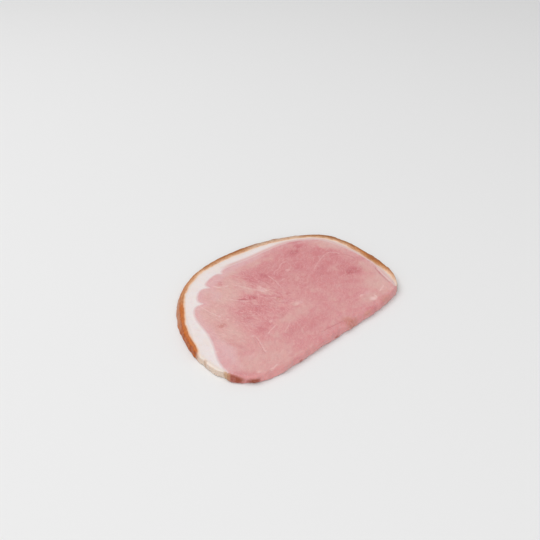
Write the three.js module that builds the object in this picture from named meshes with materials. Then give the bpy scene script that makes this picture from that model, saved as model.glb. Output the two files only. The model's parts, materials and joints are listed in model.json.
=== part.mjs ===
// Cooked ham with rind: one thick slice, cut straight across a boned and cooked leg.
// The lean is a D-shaped slab. A layer of white fat wraps its left, back and right
// sides, and carries the firm rind as its outer skin. The front edge has neither.
// Units are millimetres. X runs along the straight front edge, Y points to the back,
// Z points up, and the underside lies flat on Z = 0 around the middle of the slice.
import * as THREE from "three";

// Driving sizes of the whole slice
const LENGTH = 187;
const DEPTH = 145;
const THICKNESS = 6;

// Gap that keeps lean and fat apart
const SEAM_GAP = 0.3;

// Unevenness of the cut face: its depth, and the stretch and start of its two waves
const FACE_WAVE = 0.45;
const BROAD_WAVE = { x: 17, y: 14, start: 0.6 };
const SLANT_WAVE = { x: 9, y: 11, start: 1.9, share: 0.6 };

// The outline, as shares of half the length and half the depth, clockwise from above.
// It starts at the front left corner, where the fat begins.
const OUTLINE = [
  [-0.982, -0.703], [-0.994, -0.352], [-0.910, 0.076], [-0.758, 0.453],
  [-0.545, 0.760], [-0.264, 0.948], [0.014, 0.999], [0.315, 0.971],
  [0.591, 0.857], [0.825, 0.679], [0.958, 0.480], [0.999, 0.231],
  [0.979, -0.103], [0.924, -0.434], [0.842, -0.683], [0.713, -0.856],
  [0.454, -0.947], [-0.061, -0.970], [-0.693, -0.989], [-0.895, -0.896],
];

// The fat covers this share of the way round the outline, starting at its first point
const FAT_RUN = 0.69;

// Depth of fat and rind together, measured inwards, as [share of the run, depth]
const FAT_DEPTH = [
  [0.00, 2.2], [0.04, 7.4], [0.08, 13.4], [0.13, 16.4], [0.21, 13.6], [0.29, 15.8],
  [0.365, 17.0], [0.44, 17.4], [0.52, 19.2], [0.575, 16.0], [0.63, 11.0], [0.70, 10.2],
  [0.77, 10.4], [0.84, 8.2], [0.90, 7.6], [0.945, 9.0], [0.975, 6.4], [1.00, 2.2],
];

// Thickness of the rind on the cut face; the two ends of the run are bare fat
const RIND_THICKNESS = [
  [0.00, 0.6], [0.09, 1.0], [0.14, 3.0], [0.28, 3.0], [0.42, 4.0], [0.52, 4.4],
  [0.64, 3.0], [0.76, 5.0], [0.90, 5.2], [0.97, 2.4], [1.00, 0.6],
];

// How far the side leans outwards between the cut face and the underside
const SIDE_LEAN = [
  [0.00, 0.4], [0.10, 1.0], [0.20, 3.2], [0.27, 3.4], [0.36, 1.8], [0.46, 0.8], [1.00, 0.4],
];

// Wedges of fat that run in between the muscles, which gives the lean its lobes
const WEDGES = [
  { at: 38 / 150, depth: 6.0, before: 2.2, after: 4.2 },
  { at: 50 / 150, depth: 5.8, before: 2.6, after: 2.6 },
  { at: 62 / 150, depth: 4.2, before: 3.0, after: 3.0 },
];

// Rounding of the upper edge along the rind and along the bare front, and of the lower edge
const RIND_SHOULDER = 0.8;
const FRONT_SHOULDER = 2.0;
const LOWER_ROUND = 0.6;

// Lean of the front side, its slight ripple, and the stretch over which both set in.
// LEAN_POWER bows every side: the slope grows towards the cut face.
const FRONT_LEAN = 0.4;
const FRONT_WAVE = 0.35;
const FRONT_RIPPLES = [5.3, 8.9];
const FRONT_BLEND = 14;
const LEAN_POWER = 1.5;

// Shallow step where the rind meets the softer fat, which has shrunk a little in cooking.
// It fades out where the rind is thinner than RIND_FULL. The rind takes up at most
// RIND_LIMIT of the way from the outer edge to the seam, and DIP_ENDS are shares of it too.
const RIND_STEP = 0.35;
const RIND_FULL = 3;
const RIND_LIMIT = 0.5;
const FAT_DIP = 0.15;
const DIP_ENDS = { step: 0.06, rise: 0.2, seam: 0.8 };

// Spacing of the mesh: places round the fat and along the front, heights as shares of
// the thickness, and rings of the cut face as shares of the way out from the middle
const OUTLINE_SAMPLES = 720;
const FAT_STATIONS = 150;
const FRONT_STATIONS = 54;
const LEVELS = [0, 0.1, 0.3, 0.55, 0.8, 0.93, 1];
const FACE_RINGS = [0.965, 0.9, 0.8, 0.66, 0.5, 0.32, 0.15];

// Both ends of the fat are cut on a slant and keep clear of the lean, whose bare side
// starts this step further round the outline
const END_GAP = 0.4;
const END_STEP = 1.2;

// A smooth function of the share of the fat's run, through [share, value] entries
function smoothThrough(entries) {
  const [shares, values] = [0, 1].map((column) => entries.map((entry) => entry[column]));
  const curve = new THREE.CubicInterpolant(shares, values, 1);
  return (share) => curve.evaluate(share)[0];
}

const plainFatDepth = smoothThrough(FAT_DEPTH);
const rindThickness = smoothThrough(RIND_THICKNESS);
const sideLean = smoothThrough(SIDE_LEAN);

// The outline as a closed curve, brought to the exact length and depth about the middle
function outlineCurve() {
  const drawn = OUTLINE.map(([x, y]) => new THREE.Vector3(x * LENGTH / 2, y * DEPTH / 2, 0));
  const curve = new THREE.CatmullRomCurve3(drawn, true, "centripetal");
  const box = new THREE.Box3().setFromPoints(curve.getSpacedPoints(OUTLINE_SAMPLES));
  const middle = box.getCenter(new THREE.Vector3());
  const size = box.getSize(new THREE.Vector3());
  const fit = new THREE.Vector3(LENGTH / size.x, DEPTH / size.y, 1);
  curve.points = drawn.map((point) => point.sub(middle).multiply(fit));
  curve.arcLengthDivisions = OUTLINE_SAMPLES;
  curve.updateArcLengths();
  return curve;
}

const outline = outlineCurve();
const perimeter = outline.getLength();
const fatLength = perimeter * FAT_RUN;

// A place on the outline, with the directions along it and into the slice
function stationAt(distance) {
  const turn = THREE.MathUtils.euclideanModulo(distance / perimeter, 1);
  const along = outline.getTangentAt(turn);
  const inward = new THREE.Vector3(along.y, -along.x, 0).normalize();
  return { distance, point: outline.getPointAt(turn), along, inward };
}

// Height of the cut face: a knife-cut plane with slow, shallow waves
function faceHeight(x, y) {
  const broad = Math.sin(x / BROAD_WAVE.x + BROAD_WAVE.start) * Math.cos(y / BROAD_WAVE.y);
  const slant = Math.sin(x / SLANT_WAVE.x - y / SLANT_WAVE.y + SLANT_WAVE.start);
  const wave = (broad + SLANT_WAVE.share * slant) / (1 + SLANT_WAVE.share);
  return THICKNESS - FACE_WAVE * (1 - wave) / 2;
}

// How far the side lies inside the outline at a height given as a share of the thickness
function sideInset(distance, level) {
  const share = distance / fatLength;
  const onFat = share >= 0 && share <= 1;
  const beyond = Math.min(perimeter - distance, distance - fatLength);
  const front = onFat ? 0 : THREE.MathUtils.smoothstep(beyond, 0, FRONT_BLEND);
  const lean = onFat ? sideLean(share) : FRONT_LEAN;
  const shoulder = THREE.MathUtils.lerp(RIND_SHOULDER, FRONT_SHOULDER, front);
  const above = THREE.MathUtils.clamp(level * THICKNESS - (THICKNESS - shoulder), 0, shoulder);
  const upper = shoulder - Math.sqrt(shoulder * shoulder - above * above);
  const lower = LOWER_ROUND * Math.max(0, 1 - level / LEVELS[1]);
  const [short, long] = FRONT_RIPPLES.map((stretch) => Math.sin(distance / stretch));
  const ripple = front * FRONT_WAVE * (1 + short * long);
  return lean * level ** LEAN_POWER + upper + lower + ripple;
}

// Depth of the fat at a share of its run, wedges included
function fatDepth(share) {
  const wedges = WEDGES.map(({ at, depth, before, after }) =>
    depth * Math.exp(-Math.abs(share - at) * fatLength / (share < at ? before : after)));
  return plainFatDepth(share) + wedges.reduce((sum, depth) => sum + depth, 0);
}

const fatStations = Array.from({ length: FAT_STATIONS + 1 }, (_, i) =>
  stationAt(fatLength * i / FAT_STATIONS));

// The line where lean and fat meet, with the direction that points into the lean
const seam = fatStations.map(({ point, inward }, i) =>
  point.clone().addScaledVector(inward, fatDepth(i / FAT_STATIONS)));
const seamInward = seam.map((_, i) => {
  const before = seam[Math.max(0, i - 1)];
  const after = seam[Math.min(FAT_STATIONS, i + 1)];
  const along = after.clone().sub(before);
  return new THREE.Vector3(along.y, -along.x, 0).normalize();
});
const seamSide = (i, offset) => seam[i].clone().addScaledVector(seamInward[i], offset);

// A closed mesh from rings of points, each joined to the next, with closing faces added
function meshOf(rings, closingFaces) {
  const width = rings[0].length;
  const faces = [];
  for (let start = 0; start + width < rings.length * width; start += width) {
    for (let i = 0; i < width; i += 1) {
      const j = (i + 1) % width;
      const [a, b, c, d] = [start + i, start + j, start + width + j, start + width + i];
      faces.push(a, c, b, a, d, c);
    }
  }
  const points = rings.flat();
  closingFaces(points, faces, width);
  const geometry = new THREE.BufferGeometry().setFromPoints(points);
  geometry.setIndex(faces);
  geometry.computeVertexNormals();
  return geometry;
}

// Lean: rings of points from the underside up the side and across the cut face
function leanGeometry() {
  const frontLength = perimeter - fatLength;
  const frontStations = Array.from({ length: FRONT_STATIONS + 1 }, (_, i) =>
    stationAt(fatLength + END_STEP + (frontLength - 2 * END_STEP) * i / FRONT_STATIONS));
  const ringAt = (level) => {
    const alongFat = fatStations.map((_, i) => seamSide(i, SEAM_GAP / 2));
    const alongFront = frontStations.map(({ distance, point, inward }) =>
      point.clone().addScaledVector(inward, sideInset(distance, level)));
    return [...alongFat, ...alongFront].map((point) =>
      point.setZ(level * faceHeight(point.x, point.y)));
  };
  const rims = LEVELS.map(ringAt);
  const topRim = rims[rims.length - 1];
  const face = FACE_RINGS.map((share) => topRim.map((point) => {
    const inner = point.clone().multiplyScalar(share);
    return inner.setZ(faceHeight(inner.x, inner.y));
  }));
  const closeMiddles = (points, faces, width) => {
    const under = points.push(new THREE.Vector3(0, 0, 0)) - 1;
    const above = points.push(new THREE.Vector3(0, 0, faceHeight(0, 0))) - 1;
    const lastRow = (rims.length + face.length - 1) * width;
    for (let i = 0; i < width; i += 1) {
      const j = (i + 1) % width;
      faces.push(under, i, j);
      faces.push(above, lastRow + j, lastRow + i);
    }
  };
  return meshOf([...rims, ...face], closeMiddles);
}

// One section through fat and rind: up the side, over the rind and fat, down the seam
function fatSection(i) {
  const end = i === 0 ? 1 : i === FAT_STATIONS ? -1 : 0;
  const share = i / FAT_STATIONS;
  const { distance, point, along, inward } = fatStations[i];
  const outer = LEVELS.map((level) => {
    const side = point.clone().addScaledVector(inward, sideInset(distance, level));
    return side.setZ(level * faceHeight(side.x, side.y));
  });
  const rim = outer[outer.length - 1];
  const seamTop = seamSide(i, -SEAM_GAP / 2);
  const faceWidth = Math.hypot(seamTop.x - rim.x, seamTop.y - rim.y);
  const thickness = rindThickness(share);
  const rind = Math.min(RIND_LIMIT, thickness / faceWidth);
  const step = RIND_STEP * Math.min(1, thickness / RIND_FULL);
  const face = [
    [rind, 0], [rind + DIP_ENDS.step, step], [rind + DIP_ENDS.rise, FAT_DIP],
    [DIP_ENDS.seam, FAT_DIP], [1, 0],
  ];
  const upper = face.map(([across, dip]) => {
    const spot = rim.clone().lerp(seamTop, across);
    return spot.setZ(faceHeight(spot.x, spot.y) - dip);
  });
  const seamFoot = seamTop.clone().setZ(0);
  return [...outer, ...upper, seamFoot].map((spot) => {
    const wayIn = spot.clone().sub(point).dot(inward) / fatDepth(share);
    return spot.addScaledVector(along, end * (END_GAP - END_STEP * (1 - wayIn)));
  });
}

// Fat with its rind: the sections joined along the run and closed at both ends
function fatGeometry() {
  const sections = fatStations.map((_, i) => fatSection(i).reverse());
  const closeEnds = (points, faces, width) => {
    const lastRow = FAT_STATIONS * width;
    for (const [start, turned] of [[0, false], [lastRow, true]]) {
      const section = points.slice(start, start + width);
      const flat = section.map(({ x, y, z }) => new THREE.Vector2(Math.hypot(x, y), z));
      for (const [a, b, c] of THREE.ShapeUtils.triangulateShape(flat, [])) {
        faces.push(start + a, start + (turned ? b : c), start + (turned ? c : b));
      }
    }
  };
  return meshOf(sections, closeEnds);
}

function sliceMesh(name, geometry, color, roughness) {
  const material = new THREE.MeshStandardMaterial({ name, color, roughness, metalness: 0 });
  const mesh = new THREE.Mesh(geometry, material);
  mesh.name = name;
  return mesh;
}

const slice = new THREE.Group();
slice.add(sliceMesh("lean_meat", leanGeometry(), 0xd99a9c, 0.5));
slice.add(sliceMesh("fat_with_rind", fatGeometry(), 0xe8dcd6, 0.45));

// The origin is under the middle of the finished slice
const middle = new THREE.Box3().setFromObject(slice).getCenter(new THREE.Vector3());
for (const mesh of slice.children) {
  mesh.geometry.translate(-middle.x, -middle.y, 0);
}

export default slice;
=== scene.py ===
"""Cooked ham with rind: one thick slice with its lean, its fat and its amber rind.

Lengths are in metres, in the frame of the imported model. The materials work in millimetres.
"""

import json
import math
from functools import reduce

import bpy
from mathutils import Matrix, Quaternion, Vector
from mathutils.bvhtree import BVHTree

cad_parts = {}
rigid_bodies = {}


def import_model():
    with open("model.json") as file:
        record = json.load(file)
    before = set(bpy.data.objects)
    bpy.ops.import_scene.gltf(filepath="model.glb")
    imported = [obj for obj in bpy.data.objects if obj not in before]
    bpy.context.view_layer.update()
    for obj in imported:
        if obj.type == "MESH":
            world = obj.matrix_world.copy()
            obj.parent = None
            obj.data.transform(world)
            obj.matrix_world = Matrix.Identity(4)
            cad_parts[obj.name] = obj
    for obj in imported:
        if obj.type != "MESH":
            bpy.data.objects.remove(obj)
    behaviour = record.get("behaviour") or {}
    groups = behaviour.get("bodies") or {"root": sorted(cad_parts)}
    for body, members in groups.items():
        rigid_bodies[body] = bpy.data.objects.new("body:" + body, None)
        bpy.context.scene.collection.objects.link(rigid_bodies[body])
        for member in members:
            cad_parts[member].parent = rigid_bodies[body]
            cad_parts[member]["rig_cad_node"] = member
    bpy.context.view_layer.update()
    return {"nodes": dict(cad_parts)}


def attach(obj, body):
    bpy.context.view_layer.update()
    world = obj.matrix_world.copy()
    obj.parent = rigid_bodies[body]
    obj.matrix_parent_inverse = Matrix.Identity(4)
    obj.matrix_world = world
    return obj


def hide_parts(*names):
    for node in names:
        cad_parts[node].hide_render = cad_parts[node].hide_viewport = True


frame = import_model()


# Camera: it stands off the front left corner of the slice, 30 degrees above the table,
# where the photograph was taken from, and is rolled a little. The lens is a short tele.
MM = 0.001
CAMERA_PLACE = Vector((-334.81, -384.25, 324.03)) * MM
CAMERA_AIM = Vector((23.55, 33.38, 0.0)) * MM
CAMERA_ROLL = math.radians(3.36)
LENS = 53.13
SENSOR_WIDTH = 36.0
NEAREST_VIEW = 0.01
FURTHEST_VIEW = 20.0

scene = bpy.context.scene
camera = bpy.data.objects.new("camera", bpy.data.cameras.new("camera"))
scene.collection.objects.link(camera)
gaze = CAMERA_AIM - CAMERA_PLACE
camera.location = CAMERA_PLACE
camera.rotation_mode = "QUATERNION"
camera.rotation_quaternion = Quaternion(gaze, CAMERA_ROLL) @ gaze.to_track_quat("-Z", "Y")
camera.data.lens = LENS
camera.data.sensor_width = SENSOR_WIDTH
camera.data.clip_start = NEAREST_VIEW
camera.data.clip_end = FURTHEST_VIEW
scene.camera = camera


# Floor and light: a pale matt table under a large soft light from behind, a wider fill
# from the camera's side, and an even white surround.
FLOOR_HALF = 4.0
FLOOR_COLOUR = (0.83, 0.83, 0.83, 1.0)
FLOOR_ROUGHNESS = 0.8
SURROUND_COLOUR = (1.0, 1.0, 1.0, 1.0)
SURROUND_STRENGTH = 0.45
SOFTBOXES = {
    "key": {"place": (-0.5, 1.1, 2.0), "size": 1.8, "power": 25.0},
    "fill": {"place": (-1.3, -1.7, 1.5), "size": 2.4, "power": 30.0},
}

bpy.ops.object.select_all(action="DESELECT")
bpy.ops.mesh.primitive_plane_add(size=2 * FLOOR_HALF, location=(0.0, 0.0, 0.0))
floor = bpy.context.object
floor.name = "floor"
floor_paint = bpy.data.materials.new("pale_table")
floor_paint.use_nodes = True
table_top = floor_paint.node_tree.nodes["Principled BSDF"]
table_top.inputs["Base Color"].default_value = FLOOR_COLOUR
table_top.inputs["Roughness"].default_value = FLOOR_ROUGHNESS
floor.data.materials.append(floor_paint)

surround = bpy.data.worlds.new("studio")
surround.use_nodes = True
backdrop = surround.node_tree.nodes["Background"]
backdrop.inputs["Color"].default_value = SURROUND_COLOUR
backdrop.inputs["Strength"].default_value = SURROUND_STRENGTH
scene.world = surround
scene.view_settings.view_transform = "Standard"

for name, box in SOFTBOXES.items():
    softbox = bpy.data.objects.new(name, bpy.data.lights.new(name, "AREA"))
    softbox.data.size = box["size"]
    softbox.data.energy = box["power"]
    softbox.location = box["place"]
    softbox.rotation_euler = (-Vector(box["place"])).to_track_quat("-Z", "Y").to_euler()
    scene.collection.objects.link(softbox)


# Whole slice: lean and fat grew together and were cut by one stroke of a knife, so they are
# shaped as one body here and parted along their seam afterwards. The cut face is softly
# lumpy with grooves between the muscles, and the outer side is torn, ridged and uneven.
MERGE_DISTANCE = 0.001 * MM
SEAM_WALL = 0.6 * MM
STEEP = 0.5
ZIP_DISTANCE = 0.55 * MM
CELLS = {"octree_depth": 9, "scale": 0.56}
FAIRING = {"factor": 0.5, "iterations": 5}
CUT_FACE_STARTS = 4.7 * MM
CUT_FACE_FULL = 5.2 * MM
SIDE_STEEPNESS = 0.8
FOOT_TOP = 1.8 * MM
IN_SPACE = Vector((1.0, 1.0, 1.0))
IN_PLAN = Vector((1.0, 1.0, 0.0))
CLEAR_OF_SEAM = 1.0 * MM
SIDE_RELIEF_DEPTH = 1.5 * MM
SIDE_RIDGE_SQUEEZE = 0.22
GROOVE_DEPTH = 0.3 * MM
GROOVE_HALF_WIDTH = 1.1 * MM
LUMP_LEVEL = 0.7
SMOOTH_ANGLE = math.radians(50)

# Grooves between muscles, as lines of points on the cut face in millimetres
MUSCLE_GROOVES = [
    [(-58.0, -52.0), (-56.5, -44.0), (-52.0, -34.0)],
    [(-18.0, -63.5), (-8.0, -61.5), (2.0, -62.0), (10.0, -65.0), (24.0, -66.5)],
    [(75.0, -35.0), (71.5, -40.5), (69.5, -46.0), (68.0, -53.0)],
    [(52.5, -25.0), (55.5, -22.5), (59.5, -21.5)],
    [(-27.0, 12.0), (-24.0, 9.5), (-21.5, 6.0)],
]


def surface_of(thing, wanted=lambda face: True, squash=IN_SPACE):
    """The wanted faces of an object, ready to be asked for their nearest point."""
    corners = [vertex.co * squash for vertex in thing.data.vertices]
    faces = [tuple(face.vertices) for face in thing.data.polygons if wanted(face)]
    return BVHTree.FromPolygons(corners, faces)


def outer_side(node, neighbour, top=math.inf, squash=IN_SPACE):
    """The outer side of a CAD node: its steep faces below a height and clear of the seam."""
    seam = surface_of(frame["nodes"][neighbour])
    return surface_of(frame["nodes"][node], lambda face: (
        abs(face.normal.z) < SIDE_STEEPNESS and face.center.z < top and
        seam.find_nearest(face.center)[3] > CLEAR_OF_SEAM), squash)


def merged_copy(node, name):
    """A copy of a CAD node, as one closed mesh that belongs to the scene."""
    bpy.ops.object.select_all(action="DESELECT")
    frame["nodes"][node].select_set(True)
    bpy.context.view_layer.objects.active = frame["nodes"][node]
    bpy.ops.object.duplicate()
    piece = bpy.context.object
    bpy.ops.object.parent_clear(type="CLEAR_KEEP_TRANSFORM")
    del piece["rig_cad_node"]
    piece.name = name
    piece.data.materials.clear()
    bpy.ops.object.mode_set(mode="EDIT")
    bpy.ops.mesh.select_all(action="SELECT")
    bpy.ops.mesh.remove_doubles(threshold=MERGE_DISTANCE)
    bpy.ops.mesh.normals_make_consistent(inside=False)
    bpy.ops.object.mode_set(mode="OBJECT")
    return piece


def choose_faces(piece, wanted):
    """Selects the wanted faces of a piece and leaves it in edit mode."""
    bpy.context.view_layer.objects.active = piece
    bpy.ops.object.mode_set(mode="EDIT")
    bpy.ops.mesh.select_mode(type="FACE")
    bpy.ops.mesh.select_all(action="DESELECT")
    bpy.ops.object.mode_set(mode="OBJECT")
    for face in piece.data.polygons:
        face.select = wanted(face)
    bpy.ops.object.mode_set(mode="EDIT")


def drop_faces(piece, wanted):
    """Deletes the wanted faces of a piece."""
    choose_faces(piece, wanted)
    bpy.ops.mesh.delete(type="FACE")
    bpy.ops.object.mode_set(mode="OBJECT")


def apply_modifier(piece, kind, **settings):
    """Adds one modifier with its settings and applies it."""
    modifier = piece.modifiers.new(kind.lower(), kind)
    for key, value in settings.items():
        setattr(modifier, key, value)
    bpy.context.view_layer.objects.active = piece
    bpy.ops.object.modifier_apply(modifier=modifier.name)


def weigh(piece, name, weight_of):
    """A vertex group whose weights are a function of the vertex's place."""
    group = piece.vertex_groups.new(name=name)
    for vertex in piece.data.vertices:
        weight = weight_of(vertex.co)
        if weight > 0.0:
            group.add([vertex.index], min(1.0, weight), "REPLACE")


def clouds(name, size, depth):
    """A cloudy relief with lumps of about the given size."""
    texture = bpy.data.textures.new(name, "CLOUDS")
    texture.noise_scale = size
    texture.noise_depth = depth
    return texture


def distance_to_line(place, line):
    """The distance on the cut face from a place to a line of points."""
    spot = place.to_2d()
    nearest = []
    for start, end in zip(line, line[1:]):
        start, end = Vector(start) * MM, Vector(end) * MM
        share = (spot - start).dot(end - start) / (end - start).length_squared
        nearest.append((spot - start.lerp(end, max(0.0, min(1.0, share)))).length)
    return min(nearest)


halves = []
for node, neighbour in (("lean_meat", "fat_with_rind"), ("fat_with_rind", "lean_meat")):
    half = merged_copy(node, "half_of_slice")
    seam = surface_of(frame["nodes"][neighbour])
    drop_faces(half, lambda face: (
        abs(face.normal.z) < STEEP and seam.find_nearest(face.center)[3] < SEAM_WALL))
    halves.append(half)
bpy.ops.object.select_all(action="DESELECT")
for half in halves:
    half.select_set(True)
bpy.context.view_layer.objects.active = halves[0]
bpy.ops.object.join()
whole = bpy.context.object
whole.name = "whole_slice"
bpy.ops.object.mode_set(mode="EDIT")
bpy.ops.mesh.select_mode(type="VERT")
bpy.ops.mesh.select_all(action="DESELECT")
bpy.ops.mesh.select_non_manifold()
bpy.ops.mesh.remove_doubles(threshold=ZIP_DISTANCE)
bpy.ops.mesh.select_all(action="DESELECT")
bpy.ops.mesh.select_non_manifold()
bpy.ops.mesh.fill_holes(sides=0)
bpy.ops.mesh.select_all(action="SELECT")
bpy.ops.mesh.normals_make_consistent(inside=False)
bpy.ops.object.mode_set(mode="OBJECT")
apply_modifier(whole, "REMESH", mode="SHARP", **CELLS)
apply_modifier(whole, "SMOOTH", **FAIRING)

face_span = CUT_FACE_FULL - CUT_FACE_STARTS
weigh(whole, "cut_face", lambda place: (place.z - CUT_FACE_STARTS) / face_span)
BROAD_LUMPS = {"texture": clouds("broad_lumps", 5.0 * MM, 1), "strength": 0.22 * MM}
FINE_LUMPS = {"texture": clouds("fine_lumps", 1.8 * MM, 1), "strength": 0.14 * MM}
for lumps in (BROAD_LUMPS, FINE_LUMPS):
    apply_modifier(whole, "DISPLACE", direction="Z", mid_level=LUMP_LEVEL,
                   texture_coords="LOCAL", vertex_group="cut_face", **lumps)

weigh(whole, "grooves", lambda place: 0.0 if place.z < CUT_FACE_STARTS else max(
    1.0 - distance_to_line(place, line) / GROOVE_HALF_WIDTH for line in MUSCLE_GROOVES))
apply_modifier(whole, "DISPLACE", direction="Z", mid_level=0.0, strength=-GROOVE_DEPTH,
               vertex_group="grooves")

sides = [outer_side("lean_meat", "fat_with_rind"), outer_side("fat_with_rind", "lean_meat")]
weigh(whole, "outer_side", lambda place: 1.0 - min(
    side.find_nearest(place)[3] for side in sides) / SIDE_RELIEF_DEPTH)
ridge_frame = bpy.data.objects.new("ridge_frame", None)
ridge_frame.scale = (1.0, 1.0, SIDE_RIDGE_SQUEEZE)
scene.collection.objects.link(ridge_frame)
bpy.context.view_layer.update()
TORN_LUMPS = {"texture": clouds("torn_lumps", 3.2 * MM, 2), "strength": 0.6 * MM,
              "texture_coords": "LOCAL"}
SIDE_RIDGES = {"texture": clouds("side_ridges", 3.0 * MM, 1), "strength": 0.35 * MM,
               "texture_coords": "OBJECT", "texture_coords_object": ridge_frame}
UNEVEN_EDGE = {"texture": clouds("uneven_edge", 6.0 * MM, 0), "strength": 1.8 * MM,
               "texture_coords": "LOCAL"}
for relief in (TORN_LUMPS, SIDE_RIDGES):
    apply_modifier(whole, "DISPLACE", direction="NORMAL", mid_level=1.0,
                   vertex_group="outer_side", **relief)
for heading in ("X", "Y"):
    apply_modifier(whole, "DISPLACE", direction=heading, mid_level=0.5,
                   vertex_group="outer_side", **UNEVEN_EDGE)
bpy.data.objects.remove(ridge_frame)

# Knife that parts lean and fat: the outline of the lean's underside, moved out to the middle
# of the seam where it meets the fat and clear of the slice where the lean is bare
KNIFE_START = -3.0 * MM
KNIFE_RISE = 12.0 * MM
CLEAR_OF_SLICE = 1.08
SLIVER = 0.06 * MM
ON_KNIFE = 0.7

knife = merged_copy("lean_meat", "knife")
drop_faces(knife, lambda face: face.center.z > MERGE_DISTANCE)
seam = surface_of(frame["nodes"]["fat_with_rind"])
for vertex in knife.data.vertices:
    step = (seam.find_nearest(vertex.co)[0] - vertex.co) * IN_PLAN
    if step.length < SEAM_WALL:
        vertex.co += step / 2
    else:
        vertex.co *= CLEAR_OF_SLICE
    vertex.co.z = KNIFE_START
bpy.ops.object.mode_set(mode="EDIT")
bpy.ops.mesh.select_all(action="SELECT")
bpy.ops.mesh.extrude_region_move(TRANSFORM_OT_translate={"value": (0.0, 0.0, KNIFE_RISE)})
bpy.ops.mesh.select_all(action="SELECT")
bpy.ops.mesh.normals_make_consistent(inside=False)
bpy.ops.object.mode_set(mode="OBJECT")
knife_wall = surface_of(knife)


def made_by_knife(face):
    """Whether a face lies on the knife's wall."""
    facing, distance = knife_wall.find_nearest(face.center)[1::2]
    return distance < SLIVER and abs(face.normal.dot(facing)) > ON_KNIFE


def parted(name, keep):
    """The part of the slice inside or outside the knife's outline."""
    piece = whole.copy()
    piece.data = whole.data.copy()
    piece.name = name
    scene.collection.objects.link(piece)
    piece.vertex_groups.clear()
    apply_modifier(piece, "BOOLEAN", operation=keep, object=knife, solver="MANIFOLD")
    piece.data.materials.clear()
    bpy.ops.object.select_all(action="DESELECT")
    piece.select_set(True)
    bpy.ops.object.mode_set(mode="EDIT")
    bpy.ops.mesh.select_all(action="SELECT")
    bpy.ops.mesh.dissolve_degenerate(threshold=SLIVER)
    bpy.ops.object.mode_set(mode="OBJECT")
    bpy.ops.object.shade_smooth_by_angle(angle=SMOOTH_ANGLE)
    choose_faces(piece, made_by_knife)
    bpy.ops.mesh.region_to_loop()
    bpy.ops.mesh.mark_sharp()
    bpy.ops.object.mode_set(mode="OBJECT")
    apply_modifier(piece, "WEIGHTED_NORMAL", mode="FACE_AREA", keep_sharp=True)
    return piece


def measure(piece, name, surface, offset=0.0, squash=IN_SPACE):
    """Keeps each vertex's distance to a surface, in millimetres, as an attribute."""
    spans = [surface.find_nearest(vertex.co * squash)[3] for vertex in piece.data.vertices]
    kept = piece.data.attributes.new(name, "FLOAT", "POINT")
    kept.data.foreach_set("value", [max(0.0, span - offset) / MM for span in spans])


lean = parted("ham_lean", "INTERSECT")
fat = parted("ham_fat_and_rind", "DIFFERENCE")
bpy.data.objects.remove(whole)
bpy.data.objects.remove(knife)


# Lean meat: the pink muscle of the leg, cooked firm. Its cut face shows several muscles in
# their own pinks, with fine threads, pale veins of fat and thin darker lines. The fat wraps
# its back and sides, and its straight front side is bare and a little browned. That side's
# pink is painted lighter, as painted light against its shade, with a pale painted edge of
# light along its foot.
def pigment(red, green, blue):
    """A colour from display values of 0 to 255, as the shader's linear colour."""
    shares = [value / 255 for value in (red, green, blue)]
    linear = [share / 12.92 if share < 0.04045 else ((share + 0.055) / 1.055) ** 2.4
              for share in shares]
    return (*linear, 1.0)


LEAN_MID = pigment(215, 144, 146)
LEAN_BEIGE = pigment(220, 178, 169)
LEAN_LILAC = pigment(223, 177, 179)
LEAN_ROSE = pigment(203, 117, 123)
LEAN_DEEP = pigment(184, 92, 100)
# Bare front side: its own pink, painted lighter as painted light against the shade on that side
LEAN_FRONT_PAINTED_LIGHTER = pigment(221, 152, 151)
# Painted light: a pale edge of light along the foot of the bare front side
FOOT_PAINTED_LIGHT = pigment(222, 168, 164)
LEAN_BROWNED = pigment(150, 68, 40)
MEAT_ORANGE = pigment(184, 108, 76)
MEAT_TAN = pigment(202, 142, 118)
SEAM_TAN = pigment(186, 136, 102)
VEIN = pigment(236, 200, 196)
THREAD = pigment(236, 190, 186)
FAT_WHITE = pigment(236, 225, 223)

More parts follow.
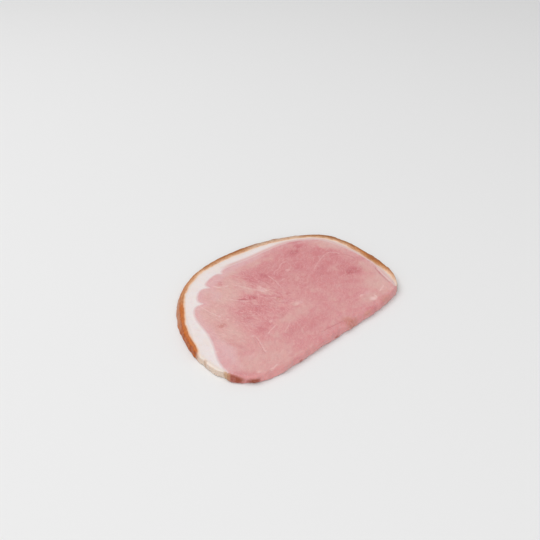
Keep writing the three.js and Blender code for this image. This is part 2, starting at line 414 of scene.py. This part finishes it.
# Patches of muscle on the cut face: middle, half length, half width, turn and strength
ROSE_FIELDS = [
    (28, 20, 44, 25, 0, 0.42), (57, 16, 14, 34, 0, 0.42), (-27, -6, 24, 15, 0, 0.33),
    (-14, -49, 28, 8, 3, 0.3), (28, -45, 14, 9, 0, 0.2), (-15, -64, 30, 5, 0, 0.12),
    (38, -12, 34, 18, 0, 0.35), (30, -30, 40, 14, 0, 0.15),
]
BEIGE_PATCHES = [
    (-64, -56, 25, 15, 0, 0.52), (-62, -16, 14, 28, -12, 0.66), (-72, -32, 9, 22, -20, 0.5),
    (-55, 12, 15, 18, -25, 0.8), (-33, 25, 20, 15, 20, 0.8), (-17, 33, 11, 13, 0, 0.6),
    (-15, 19, 5, 10, 10, 0.7), (-13, -33, 17, 6, 8, 0.5), (64, -48, 15, 15, 0, 0.75),
    (74, -28, 7, 17, 0, 0.6), (42, -57, 9, 6, 0, 0.65), (81, 22, 5, 17, 0, 0.85),
    (54, -9, 5, 4, 0, 0.4), (15, 45, 10, 5, 10, 0.6), (-3, -23, 5, 3, 0, 0.5),
    (-6, 5, 4, 7, 0, 0.5), (-9, 48, 9, 6, 0, 0.9), (-60, -34, 18, 12, 0, 0.2),
    (-59, 4, 7, 8, 0, 0.4), (83, 27, 5, 8, 0, 0.7), (55, -59, 7, 4, 0, 0.6),
    (-37, 37, 8, 5, 25, 0.8), (18, 48, 12, 3, 0, 0.6), (76, 25, 6, 10, 0, 0.8),
    (-20, 20, 3, 6, 0, 0.5), (21, -39, 3, 4, 0, 0.4), (68, -29, 3.5, 7, 0, 0.55),
    (23, 5, 6, 10, 0, 0.22), (20, -18, 5, 6, 0, 0.2), (85, 4, 3, 10, 0, 0.65),
    (-50, -69, 18, 2.5, 0, 0.5), (0, 47, 14, 4, 0, 0.4), (28, 39, 5, 4, 0, 0.4),
    (-46, 0, 4, 4, 0, 0.4), (-40, -43, 5, 4, 0, 0.4), (25, -34, 5, 4, 0, 0.3),
]
LILAC_PATCHES = [
    (-76, -34, 6, 20, -17, 0.9), (-36, 28, 6, 8, 0, 0.6), (8, 49, 22, 3.5, 0, 0.7),
    (-24, 45, 9, 4, 0, 0.8), (-68, -46, 5, 6, 0, 0.2), (45, -51, 4, 3, 0, 0.5),
    (2, -24, 3, 2, 0, 0.6), (62, 44, 12, 3, -30, 0.6),
]
ROSE_PATCHES = [
    (8, 23, 5, 7, 0, 0.9), (0, 30, 7, 9, 0, 0.6), (6, 14, 4, 4, 0, 0.5),
    (15, 13.5, 3.5, 4, 0, 0.6), (13, 33, 5, 4, 0, 0.5), (50, 33, 10, 6, 0, 0.88),
    (59, 37, 6, 5, 0, 0.8), (65, 21, 5, 5, 0, 0.6), (47, -1.5, 7, 4, 25, 0.75),
    (40, -6.5, 5, 4, 0, 0.7), (56, 0, 6, 4, 0, 0.5), (66, 0, 4, 4, 0, 0.6),
    (60.5, -22, 11, 7.5, 0, 0.9), (60, -12, 6, 5, 0, 0.7), (45, -11, 4, 3, 0, 0.6),
    (70, 10, 6, 8, 0, 0.5), (36, 13, 6, 4, 20, 0.5), (28, -1, 3, 2, 0, 0.5),
    (18, -2, 3, 2.5, 0, 0.5), (3, -9, 2.5, 2, 0, 0.5), (-28, -8, 7, 6, 0, 0.7),
    (-38, -11, 6, 5, 0, 0.5), (-22, -11, 5, 4, 0, 0.45), (-19, 6, 4, 4.5, 0, 1.0),
    (-26, 9.5, 5, 2, -35, 0.9), (-59, -6.5, 5, 3, 0, 0.45), (-41, -30, 7, 4, 10, 0.7),
    (-34, -28, 4, 3, 0, 0.6), (-20, -27, 5, 4, 0, 0.5), (-66, -30, 3.5, 10, 10, 0.35),
    (-66, -41, 6, 5, 0, 0.15), (-28, -47, 7, 4, 0, 0.35), (-14, -52, 12, 4, 5, 0.2),
    (32, -68, 6, 3, 0, 0.7), (43, -68, 4, 2, 0, 0.7), (-83, -60, 12, 3.5, -50, 0.5),
    (-37, -69, 5, 3, 0, 0.15), (-23, 37.5, 4, 2, 60, 0.3), (59, 17, 4, 9, 0, 0.6),
    (51, 10, 4, 3, 0, 0.5), (77, -13, 8, 5, 0, 0.35), (62, 46, 8, 5, -35, 0.75),
    (66, -10, 7, 6, 0, 0.45), (45, -29, 7, 4, 0, 0.3), (-44, -34, 4, 3, 0, 0.3),
    (70, -16, 4, 4, 0, 0.4), (-7, 9.5, 4, 4, 0, 0.4),
]
BROWNISH_PATCHES = [
    (-6.6, -9.5, 3, 2.5, 0, 0.3), (-58.5, -6, 4, 2.5, 0, 0.25),
]

# Veins and dark lines: three points of an arc, then its half width and strength
PALE_VEINS = [
    ((-53.2, 25.4), (-53.3, 15.8), (-52.3, 4.3), 0.6, 0.75),
    ((-28.9, 39.2), (-26.6, 34.6), (-21.5, 32.4), 0.7, 0.8),
    ((-25.7, 45.5), (-21.7, 44.4), (-20.4, 38.6), 0.6, 0.45),
    ((-11.2, 13.9), (-8.5, 9.0), (-7.3, 3.5), 0.6, 0.8),
    ((-5.3, 14.9), (-4.1, 9.4), (-2.9, 3.9), 0.6, 0.7),
    ((-17.1, 30.6), (-13.5, 21.6), (-11.2, 13.9), 0.6, 0.6),
    ((9.9, 18.0), (8.6, 10.8), (5.7, 1.0), 0.45, 0.7),
    ((14.4, 17.7), (18.6, 21.6), (23.5, 22.4), 0.6, 0.35),
    ((24.6, 22.4), (28.4, 26.1), (33.2, 27.0), 0.7, 0.45),
    ((33.2, 27.0), (37.0, 30.5), (40.4, 28.7), 0.5, 0.3),
    ((34.3, 23.4), (32.7, 18.3), (26.8, 15.5), 0.5, 0.3),
    ((10.2, 6.9), (13.2, 7.9), (16.1, 8.1), 0.6, 0.4),
    ((64.7, 11.9), (52.6, 7.2), (40.6, 0.5), 0.7, 0.35),
    ((66.4, 12.5), (71.4, 9.4), (73.4, 3.6), 0.6, 0.65),
    ((60.2, -53.2), (56.4, -55.5), (51.7, -56.6), 0.8, 0.85),
    ((46.1, -56.7), (45.3, -59.0), (44.5, -61.0), 0.8, 0.85),
    ((-49.9, -33.3), (-53.8, -42.8), (-57.6, -52.1), 0.5, 0.5),
    ((-32.1, 16.4), (-28.0, 9.4), (-23.5, 4.0), 0.6, 0.7),
    ((-38.1, -2.3), (-37.6, -3.4), (-36.6, -3.9), 0.6, 0.6),
    ((-42.6, -37.6), (-36.6, -35.1), (-31.3, -33.5), 0.6, 0.65),
    ((-33.3, -43.9), (-27.2, -41.5), (-22.0, -38.0), 0.4, 0.4),
    ((-67.7, -68.2), (-64.9, -68.4), (-61.4, -67.1), 0.8, 0.7),
]
DARK_LINES = [
    ((1.6, 22.6), (2.3, 15.9), (1.5, 8.7), 0.7, 0.45),
    ((-3.9, 32.9), (-3.7, 24.9), (-2.4, 18.2), 0.8, 0.35),
    ((9.0, 14.7), (8.3, 11.3), (7.1, 8.0), 0.5, 0.4),
    ((67.3, 6.6), (75.5, 0.0), (75.0, -11.3), 0.7, 0.4),
    ((60.2, -20.6), (57.6, -21.9), (54.7, -23.6), 0.8, 0.55),
    ((75.1, -32.2), (70.9, -42.6), (65.9, -55.2), 0.6, 0.6),
    ((-12.5, -62.3), (-4.2, -63.3), (6.5, -64.4), 0.55, 0.6),
    ((-50.9, -33.7), (-54.9, -43.2), (-58.6, -52.5), 0.4, 0.4),
]
FAT_SPECKS = [
    (-52, 4, 1.8, 1.2, 0, 0.9), (-53, 0.2, 1.6, 1, 0, 0.5), (-50, -3, 1.6, 1.1, 0, 0.6),
    (-34, -12.2, 1.8, 1.3, 0, 0.7), (-30.4, -27.3, 2.4, 1.3, 30, 0.8),
    (-51.4, -31.8, 1.7, 1.3, 0, 0.7), (-80.4, -27.5, 1.5, 1.3, 0, 1.0),
    (-75, -64.5, 1.5, 1.3, 0, 0.7), (26.8, 15.5, 2.4, 1.8, 0, 0.8),
    (41.5, -60.0, 3.2, 2.6, 0, 1.6), (39, -51.1, 2.4, 1.2, 0, 1.2),
    (-21.5, 32.4, 1.9, 1.3, 0, 0.9), (-1.4, -24, 3, 1.6, 20, 0.7), (-6, -21, 1.6, 1.2, 0, 0.6),
    (-34.5, 10, 3, 4, 0, 0.3),
]

# Marks of the oven: on the bare side, by their place along it and their height, and on
# the thin flaps of meat at the front of the cut face
BROWNED_ON_SIDE = [
    (-88.8, 3.2, 4.2, 3.4, -22, 1.0), (-80.6, 1.8, 4.0, 2.7, 0, 1.0),
    (-44, 1.5, 1.6, 1.0, 0, 0.6), (-8, 1.5, 2.2, 1.1, 0, 0.6),
]
TAN_ON_SIDE = [(26, 4.5, 4.5, 2.5, 0, 0.4), (46, 4.6, 3.0, 1.2, 0, 0.25)]
ORANGE_FLAP = (8.5, -68.5, 6.0, 7.0, 20, 0.5)
BROWNED_FLAP = (9.5, -70, 3.0, 3.0, 0, 0.2)
TAN_FLAP = (49, -65, 6, 2.2, 0, 0.3)

# The grain of the meat: its angle in degrees, and the width and length of its streaks in
# millimetres. It runs one way in the left muscles and another in the right ones, and it is
# liveliest at the heart of the slice.
LEFT_THREADS = (104.0, 2.2, 14.0)
RIGHT_THREADS = (36.0, 2.2, 12.0)
CROSSING_THREADS = (64.0, 1.7, 5.0)
LEFT_FLECKS = (98.0, 2.6, 6.0)
RIGHT_FLECKS = (36.0, 2.6, 6.0)
HEART = (-5, -2, 48, 30, 12, 1.0)

VEIN_STRENGTH = 0.85
DARK_LINE_STRENGTH = 0.8
SPECK_STRENGTH = 0.5

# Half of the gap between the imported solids, from where distances to the seam are measured
HALF_GAP = 0.15 * MM

# Relief and roughness of the surface, and the light that bleeds through it
RELIEF_DEPTH = 0.2 * MM
LEAN_RELIEF = 0.3
LEAN_ROUGHNESS = (0.45, 0.62)
BLEED_SHARE = 0.15
BLEED_DEPTH = 1.0 * MM
LEAN_BLEED = (1.0, 0.4, 0.3)


class Wire:
    """One output of a shader node. Arithmetic on it adds Math nodes."""

    # Where marks fade out and where they are full, as shares of their size
    OVAL_EDGE = (1.35, 0.3)
    ARC_EDGE = (1.4, 0.1)
    ARC_ENDS = (1.2, 0.7)

    def __init__(self, tree, output=None):
        self.tree = tree
        self.output = output

    def node(self, kind, settings=None, inputs=None, output=0):
        """Adds a node: first its settings, then the values or wires of its sockets."""
        made = self.tree.nodes.new("ShaderNode" + kind)
        for key, value in (settings or {}).items():
            if key == "stops":
                elements = made.color_ramp.elements
                elements.remove(elements[1])
                elements[0].position, elements[0].color = value[0]
                for position, colour in value[1:]:
                    elements.new(position).color = colour
            elif key == "curve":
                made.color_ramp.interpolation = value
            else:
                setattr(made, key, value)
        for key, value in (inputs or {}).items():
            if isinstance(value, Wire):
                self.tree.links.new(value.output, made.inputs[key])
            else:
                made.inputs[key].default_value = value
        return Wire(self.tree, made.outputs[output])

    def math(self, operation, *values):
        return self.node("Math", {"operation": operation}, dict(enumerate(values)))

    def vector(self, operation, *values, output=0):
        return self.node("VectorMath", {"operation": operation},
                         dict(enumerate((self, *values))), output)

    def __add__(self, other):
        return self.math("ADD", self, other)

    __radd__ = __add__

    def __sub__(self, other):
        return self.math("SUBTRACT", self, other)

    def __rsub__(self, other):
        return self.math("SUBTRACT", other, self)

    def __mul__(self, other):
        return self.math("MULTIPLY", self, other)

    __rmul__ = __mul__

    def __abs__(self):
        return self.math("ABSOLUTE", self)

    def most(self, other):
        return self.math("MAXIMUM", self, other)

    def fade(self, start, end, low=0.0, high=1.0):
        """Goes smoothly from low at the start to high at the end."""
        return self.node("MapRange", {"interpolation_type": "SMOOTHSTEP"}, {
            "Value": self, "From Min": start, "From Max": end,
            "To Min": low, "To Max": high})

    def axis(self, name):
        return self.node("SeparateXYZ", {}, {"Vector": self}, name)

    def scaled(self, amount):
        return self.node("VectorMath", {"operation": "SCALE"}, {0: self, "Scale": amount})

    def stretched(self, x, y, z):
        return self.vector("MULTIPLY", (x, y, z))

    def mottle(self, size, detail=2.0, roughness=0.5, output=0):
        """Soft random blotches of about the given size, on this wire's places."""
        return self.node("TexNoise", {}, {
            "Vector": self, "Scale": 1.0 / size, "Detail": detail,
            "Roughness": roughness}, output)

    def fibres(self, angle, width, length):
        """Random streaks that run at an angle over the cut face."""
        turned = self.node("Mapping", {"vector_type": "TEXTURE"}, {
            "Vector": self, "Rotation": (0.0, 0.0, math.radians(angle)),
            "Scale": (length / width, 1.0, 1.0)})
        return turned.mottle(width, 1.0, 0.6)

    def stirred(self, size, amount):
        """These places pushed about at random, which makes borders uneven."""
        push = self.mottle(size, output=1).vector("SUBTRACT", (0.5, 0.5, 0.5))
        return self.vector("ADD", push.scaled(2 * amount))

    def blend(self, share, colour):
        """This colour, mixed with another by a share."""
        return self.node("Mix", {"data_type": "RGBA"}, {0: share, 6: self, 7: colour}, output=2)

    def oval(self, x, y, length, width, turn, strength):
        """How far a place lies inside a soft-edged oval."""
        slope = math.radians(turn)
        along = Vector((math.cos(slope), math.sin(slope), 0.0)) / length
        across = Vector((-math.sin(slope), math.cos(slope), 0.0)) / width
        middle = Vector((x, y, 0.0))
        spot = self.node("CombineXYZ", {}, {
            "X": self.vector("DOT_PRODUCT", along, output=1),
            "Y": self.vector("DOT_PRODUCT", across, output=1)})
        off = spot.vector("DISTANCE", (middle.dot(along), middle.dot(across), 0.0), output=1)
        return off.fade(*self.OVAL_EDGE, 0.0, strength)

    def arc(self, start, middle, end, width, strength):
        """How close a place lies to the arc through three points."""
        first, second, third = (Vector(point) for point in (start, middle, end))
        span = 2 * (first - third).cross(second - third)
        lift = (first - third).length_squared * (second - third).orthogonal()
        drop = (second - third).length_squared * (first - third).orthogonal()
        centre = third + (drop - lift) / span
        radius = (first - centre).length
        reach = max((first - second).length, (third - second).length)
        off = abs(self.vector("DISTANCE", (*centre, 0.0), output=1) - radius)
        along = self.vector("DISTANCE", (*second, 0.0), output=1)
        edge = [share * width for share in self.ARC_EDGE]
        ends = [share * reach for share in self.ARC_ENDS]
        return off.fade(*edge, 0.0, strength) * along.fade(*ends)


def strongest(marks):
    """The strongest of the marks at each place. Given a generator, it takes each mark in
    before the next one is made, because the renderer holds only few values at a time."""
    return reduce(Wire.most, marks)


def new_material(name):
    """An empty material: itself, its shader, and the wire that its nodes start from."""
    material = bpy.data.materials.new(name)
    material.use_nodes = True
    return material, material.node_tree.nodes["Principled BSDF"], Wire(material.node_tree)


def moist_surface(shader, colour, relief, strength, grain, roughness, bleed):
    """Wires up a moist surface with a low relief, which lets some light through."""
    bump = colour.node("Bump", {}, {
        "Strength": strength, "Distance": RELIEF_DEPTH, "Height": relief})
    gloss = grain.fade(0.3, 0.7, *roughness)
    for socket, wire in (("Base Color", colour), ("Normal", bump), ("Roughness", gloss)):
        colour.tree.links.new(wire.output, shader.inputs[socket])
    shader.inputs["Subsurface Weight"].default_value = BLEED_SHARE
    shader.inputs["Subsurface Radius"].default_value = bleed
    shader.inputs["Subsurface Scale"].default_value = BLEED_DEPTH


lean_material, lean_shader, start = new_material("cooked_lean")
places = start.node("TexCoord", output="Object").scaled(1.0 / MM)
flat = places.stretched(1.0, 1.0, 0.0)
upright = start.node("CombineXYZ", {}, {"X": places.axis("X"), "Y": places.axis("Z")})
seam_mm = start.node("Attribute", {"attribute_name": "seam_mm"}, output="Fac")
bare_mm = start.node("Attribute", {"attribute_name": "bare_mm"}, output="Fac")
soft = flat.stirred(14.0, 4.0).stirred(5.0, 1.3)
close = flat.stirred(6.0, 2.0)
wavy = flat.stirred(3.0, 0.8)

# Random blotches mostly stay between 0.3 and 0.7, so most fades on them start and end there
cloudy = places.mottle(9.0, 3.0)
colour = start.node("Mix", {"data_type": "RGBA"}, {
    0: cloudy.fade(0.35, 0.7, 0.0, 0.3), 6: LEAN_MID, 7: LEAN_BEIGE}, output=2)
fields = strongest(soft.oval(*patch) for patch in ROSE_FIELDS)
colour = colour.blend(fields, LEAN_ROSE)
pale = strongest(soft.oval(*patch) for patch in BEIGE_PATCHES)
colour = colour.blend(pale * cloudy.fade(0.25, 0.5, 0.75, 1.0), LEAN_BEIGE)
margin = seam_mm.fade(9.0, 1.5, 0.0, 0.7) * places.axis("X").fade(5.0, 45.0, 1.0, 0.35)
colour = colour.blend(margin, LEAN_LILAC)
colour = colour.blend(strongest(soft.oval(*patch) for patch in LILAC_PATCHES), LEAN_LILAC)
rosy = strongest(close.oval(*patch) for patch in ROSE_PATCHES)
colour = colour.blend(rosy, LEAN_ROSE)
colour = colour.blend(rosy.fade(0.7, 1.0, 0.0, 0.5), LEAN_DEEP)
colour = colour.blend(strongest(close.oval(*patch) for patch in BROWNISH_PATCHES),
                      MEAT_ORANGE)

leaning = places.stirred(9.0, 2.8).stirred(4.0, 0.8)
east = places.axis("X").fade(-4.0, 14.0).most(places.axis("Y").fade(-24.0, -36.0))
heart = flat.stirred(12.0, 6.0).oval(*HEART)
lively = (1.0 - 0.7 * pale.most(margin)) * (0.25 + 0.75 * heart)
threads = (abs(leaning.fibres(*LEFT_THREADS) - 0.5).fade(0.07, 0.0) * (1.0 - east)
           + abs(leaning.fibres(*RIGHT_THREADS) - 0.5).fade(0.07, 0.0) * east)
crossing = abs(leaning.fibres(*CROSSING_THREADS) - 0.5).fade(0.07, 0.01)
broken = places.mottle(5.0, 1.0).fade(0.45, 0.6)
threads = (threads * broken).most(crossing * (1.0 - broken) * 0.7)
flecks = leaning.fibres(*LEFT_FLECKS) * (1.0 - east) + leaning.fibres(*RIGHT_FLECKS) * east
colour = colour.blend(flecks.fade(0.45, 0.72, 0.0, 0.45) * (0.3 + 0.7 * lively), LEAN_ROSE)
colour = colour.blend(flecks.fade(0.54, 0.78, 0.0, 0.3) * lively * rosy.most(fields),
                      LEAN_DEEP)
colour = colour.blend(flecks.fade(0.5, 0.28, 0.0, 0.2), LEAN_BEIGE)
colour = colour.blend(threads * east.fade(0.0, 1.0, 0.52, 0.3), THREAD)
grain = places.stirred(3.0, 1.0).mottle(1.2, 2.0, 0.6)
colour = colour.blend(grain.fade(0.5, 0.75, 0.0, 0.08), THREAD)

torn = places.mottle(1.6, 1.0).fade(0.3, 0.5, 0.45, 1.0)
colour = colour.blend(
    VEIN_STRENGTH * torn * strongest(wavy.arc(*vein) for vein in PALE_VEINS), VEIN)
colour = colour.blend(
    DARK_LINE_STRENGTH * torn * strongest(wavy.arc(*line) for line in DARK_LINES), LEAN_DEEP)
colour = colour.blend(
    SPECK_STRENGTH * strongest(wavy.oval(*speck) for speck in FAT_SPECKS), VEIN)

side = bare_mm.fade(2.2, 0.8)
# The bare front side in its own pink, painted lighter as painted light against its shade
colour = colour.blend(side * cloudy.fade(0.35, 0.6, 0.25, 0.7), LEAN_FRONT_PAINTED_LIGHTER)
# Painted light: a pale edge of light low on the bare front side, except at its left end
painted_light_foot = places.axis("Z").fade(3.4, 1.2) * places.axis("X").fade(-72.0, -60.0)
colour = colour.blend(side * painted_light_foot * 0.5, FOOT_PAINTED_LIGHT)
scorched = places.mottle(2.4, 2.0)
colour = colour.blend(close.oval(*ORANGE_FLAP) * scorched.fade(0.3, 0.6, 0.4, 1.0),
                      MEAT_ORANGE)
colour = colour.blend(close.oval(*BROWNED_FLAP) * scorched.fade(0.4, 0.7), LEAN_BROWNED)
colour = colour.blend(close.oval(*TAN_FLAP), MEAT_TAN)
up_side = upright.stirred(2.5, 0.7)
colour = colour.blend(side * strongest(up_side.oval(*mark) for mark in TAN_ON_SIDE), MEAT_TAN)
colour = colour.blend(side * strongest(up_side.oval(*mark) for mark in BROWNED_ON_SIDE)
                      * scorched.fade(0.3, 0.55, 0.8, 1.0), LEAN_BROWNED)
left_end = places.axis("X").fade(-80.0, -86.0)
colour = colour.blend(side * seam_mm.fade(2.8, 1.2, 0.0, 0.85) * left_end, SEAM_TAN)
colour = colour.blend(seam_mm.fade(1.4, 0.0, 0.0, 0.5) * (1.0 - side), FAT_WHITE)

lean_relief = 0.35 * places.mottle(1.2, 2.0, 0.5) + threads
moist_surface(lean_shader, colour, lean_relief, LEAN_RELIEF, grain, LEAN_ROUGHNESS, LEAN_BLEED)
lean.data.materials.append(lean_material)
measure(lean, "seam_mm", surface_of(frame["nodes"]["fat_with_rind"]), HALF_GAP)
measure(lean, "bare_mm", outer_side("lean_meat", "fat_with_rind", FOOT_TOP, IN_PLAN),
        squash=IN_PLAN)
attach(lean, "root")
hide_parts("lean_meat")


# Fat with rind: a layer of soft white fat under the skin of the leg. The skin was cooked to
# an amber rind of uneven thickness; both ends of the layer are trimmed to bare fat.
FAT_CREAM = pigment(232, 216, 204)
FAT_BEIGE = pigment(216, 193, 174)
FAT_TAN = pigment(188, 144, 104)
FAT_PEACH = pigment(236, 194, 162)
FAT_PINK = pigment(224, 182, 178)
RIND_AMBER = pigment(195, 102, 16)
RIND_ORANGE = pigment(186, 118, 56)
RIND_TAN = pigment(198, 132, 82)
RIND_BROWN = pigment(182, 119, 64)
RIND_UMBER = pigment(168, 112, 60)
RIND_PALE = pigment(200, 168, 144)
RIND_TRIMMED = pigment(222, 198, 182)
RIND_RED = pigment(162, 80, 36)
RIND_DARK = pigment(126, 66, 34)

# The rind by the turn round the slice in degrees from its back: width and colour
RIND_ROUND = [
    (-126, 0.3, RIND_TRIMMED), (-112, 0.3, RIND_TRIMMED), (-104, 0.6, RIND_TRIMMED),
    (-101, 2.4, RIND_AMBER), (-97, 3.6, RIND_AMBER), (-91, 4.1, RIND_AMBER),
    (-82, 4.6, RIND_AMBER), (-74, 5.6, RIND_AMBER), (-62, 6.1, RIND_AMBER),
    (-54, 5.8, RIND_TAN), (-46, 5.3, RIND_TAN), (-30, 5.4, RIND_TAN),
    (-21, 4.8, RIND_BROWN), (-11, 5.7, RIND_BROWN), (-3, 5.6, RIND_BROWN),
    (8, 6.1, RIND_BROWN), (20, 6.5, RIND_BROWN), (30, 5.6, RIND_PALE),
    (40, 5.0, RIND_PALE), (53, 4.6, RIND_PALE), (60, 4.9, RIND_UMBER),
    (68, 5.5, RIND_UMBER), (82, 4.8, RIND_UMBER), (93, 5.4, RIND_ORANGE),
    (103, 6.9, RIND_ORANGE), (109, 6.2, RIND_ORANGE), (114, 4.4, RIND_ORANGE),
    (119, 3.4, RIND_TAN), (125, 2.4, RIND_TAN), (132, 0.5, RIND_TRIMMED),
]
RIND_WIDEST = 8.0
TURN_LIMIT = 140.0
ROUND_SHARES = [(row[0] + TURN_LIMIT) / (2 * TURN_LIMIT) for row in RIND_ROUND]
MEAN_RADIUS = 85.0

# Where the fat carries skin, as shares of the whole turn
BARE = (0.0, 0.0, 0.0, 1.0)
SKIN = (1.0, 1.0, 1.0, 1.0)
SKIN_RUN = [(0.125, BARE), (0.14, SKIN), (0.93, SKIN), (0.98, BARE)]

# Heights in millimetres: where the outer side starts, where it is full, and its red rim
SIDE_TOP = 5.2
SIDE_FULL = 4.4
RIM_HEIGHT = 4.9

# Tints of their own: pinkish fat at the right end, and tan spots on the trimmed left end
PINK_END = (77, -33, 3.5, 13, -12, 0.45)
TAN_SPOTS = [(-92, -29.5, 2.2, 2, 0, 0.5), (-91, -50.8, 3.2, 2.8, 0, 0.85)]

FAT_RELIEF = 0.45
FAT_ROUGHNESS = (0.38, 0.55)
FAT_SHINE = 0.3
FAT_BLEED = (1.0, 0.7, 0.5)

fat_material, fat_shader, start = new_material("fat_and_rind")
places = start.node("TexCoord", output="Object").scaled(1.0 / MM)
seam_mm = start.node("Attribute", {"attribute_name": "seam_mm"}, output="Fac")
skin_mm = start.node("Attribute", {"attribute_name": "skin_mm"}, output="Fac")
turn = start.math("ARCTAN2", places.axis("X"), places.axis("Y"))
round_share = turn.node("MapRange", {}, {
    "Value": turn,
    "From Min": math.radians(-TURN_LIMIT), "From Max": math.radians(TURN_LIMIT)})
width = RIND_WIDEST * round_share.node("ValToRGB", {"curve": "EASE", "stops": [
    (share, (*3 * (row[1] / RIND_WIDEST,), 1.0))
    for share, row in zip(ROUND_SHARES, RIND_ROUND)]}, {0: round_share})
rind = round_share.node("ValToRGB", {"curve": "EASE", "stops": [
    (share, row[2]) for share, row in zip(ROUND_SHARES, RIND_ROUND)]}, {0: round_share})

along_skin = start.node("CombineXYZ", {}, {
    "X": turn * MEAN_RADIUS, "Y": skin_mm * 3.0, "Z": places.axis("Z") * 2.0})
streaks = along_skin.stirred(4.0, 1.0).mottle(2.6, 2.0)
grain = places.stirred(4.0, 2.0).mottle(3.0, 3.0, 0.6)
blotches = places.mottle(9.0, 2.0)
past_rind = skin_mm - width + places.mottle(7.0, 1.0).fade(0.3, 0.7, -0.35, 0.35)

colour = start.node("Mix", {"data_type": "RGBA"}, {
    0: blotches.fade(0.45, 0.7, 0.0, 0.25), 6: FAT_WHITE, 7: FAT_CREAM}, output=2)
colour = colour.blend(grain.fade(0.55, 0.72, 0.0, 0.2), FAT_PINK)
flat = places.stretched(1.0, 1.0, 0.0).stirred(6.0, 1.5)
colour = colour.blend(flat.oval(*PINK_END), FAT_PINK)
back_margin = turn.fade(math.radians(-15.0), math.radians(5.0))
colour = colour.blend(seam_mm.fade(5.0, 0.8, 0.0, 0.95) * back_margin, FAT_PINK)
with_skin = round_share.node("ValToRGB", {"stops": SKIN_RUN}, {0: round_share})
behind = turn.fade(math.radians(-50.0), math.radians(-20.0), 0.2, 1.0)
colour = colour.blend(past_rind.fade(5.0, 0.8, 0.0, 0.6) * with_skin * (0.4 + 0.6 * behind),
                      FAT_CREAM)
colour = colour.blend(skin_mm.fade(4.5, 0.5, 0.0, 0.9) * (1.0 - with_skin), FAT_CREAM)
colour = colour.blend(past_rind.fade(1.7, 0.3) * with_skin, FAT_PEACH)
rind = rind.blend(past_rind.fade(-3.2, 0.2, 0.0, 0.68) * behind, FAT_PEACH)
rind = rind.blend(past_rind.fade(-2.6, -4.4, 0.0, 0.45) * behind, RIND_DARK)
rind = rind.blend(streaks.fade(0.45, 0.65, 0.0, 0.45), RIND_RED)
rind = rind.blend(grain.fade(0.46, 0.3, 0.0, 0.2) * behind, FAT_PEACH)
upright_streaks = places.stretched(1.0, 1.0, 0.25).mottle(3.0, 2.0)
on_side = places.axis("Z").fade(SIDE_TOP, SIDE_FULL)
rind = rind.blend(on_side * streaks.fade(0.38, 0.6, 0.4, 0.9), RIND_RED)
rind = rind.blend(on_side * streaks.fade(0.56, 0.7, 0.0, 0.6), RIND_DARK)
left_side = turn.fade(math.radians(-84.0), math.radians(-72.0), 0.0, 0.25)
rind = rind.blend(on_side * left_side, FAT_PEACH)
rim = abs(places.axis("Z") - RIM_HEIGHT).fade(0.6, 0.1) * (1.0 - behind)
rind = rind.blend(rim * streaks.fade(0.4, 0.6, 0.2, 0.8), RIND_RED)
colour = colour.blend(past_rind.fade(0.6, -0.5).most(on_side) * with_skin, rind)
bare_side = on_side * (1.0 - with_skin)
colour = colour.blend(bare_side * upright_streaks.fade(0.3, 0.7, 0.6, 0.9), FAT_BEIGE)
tan = strongest(flat.oval(*spot) for spot in TAN_SPOTS)
colour = colour.blend(seam_mm.fade(1.2, 0.0, 0.0, 0.5) * (1.0 - on_side), LEAN_LILAC)
colour = colour.blend(tan * skin_mm.fade(2.6, 0.8), FAT_TAN)

fat_relief = places.mottle(1.2, 3.0, 0.55) + 0.6 * streaks
moist_surface(fat_shader, colour, fat_relief, FAT_RELIEF, grain, FAT_ROUGHNESS, FAT_BLEED)
fat_shader.inputs["Specular IOR Level"].default_value = FAT_SHINE
fat.data.materials.append(fat_material)
measure(fat, "seam_mm", surface_of(frame["nodes"]["lean_meat"]), HALF_GAP)
measure(fat, "skin_mm", outer_side("fat_with_rind", "lean_meat", FOOT_TOP, IN_PLAN),
        squash=IN_PLAN)
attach(fat, "root")
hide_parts("fat_with_rind")
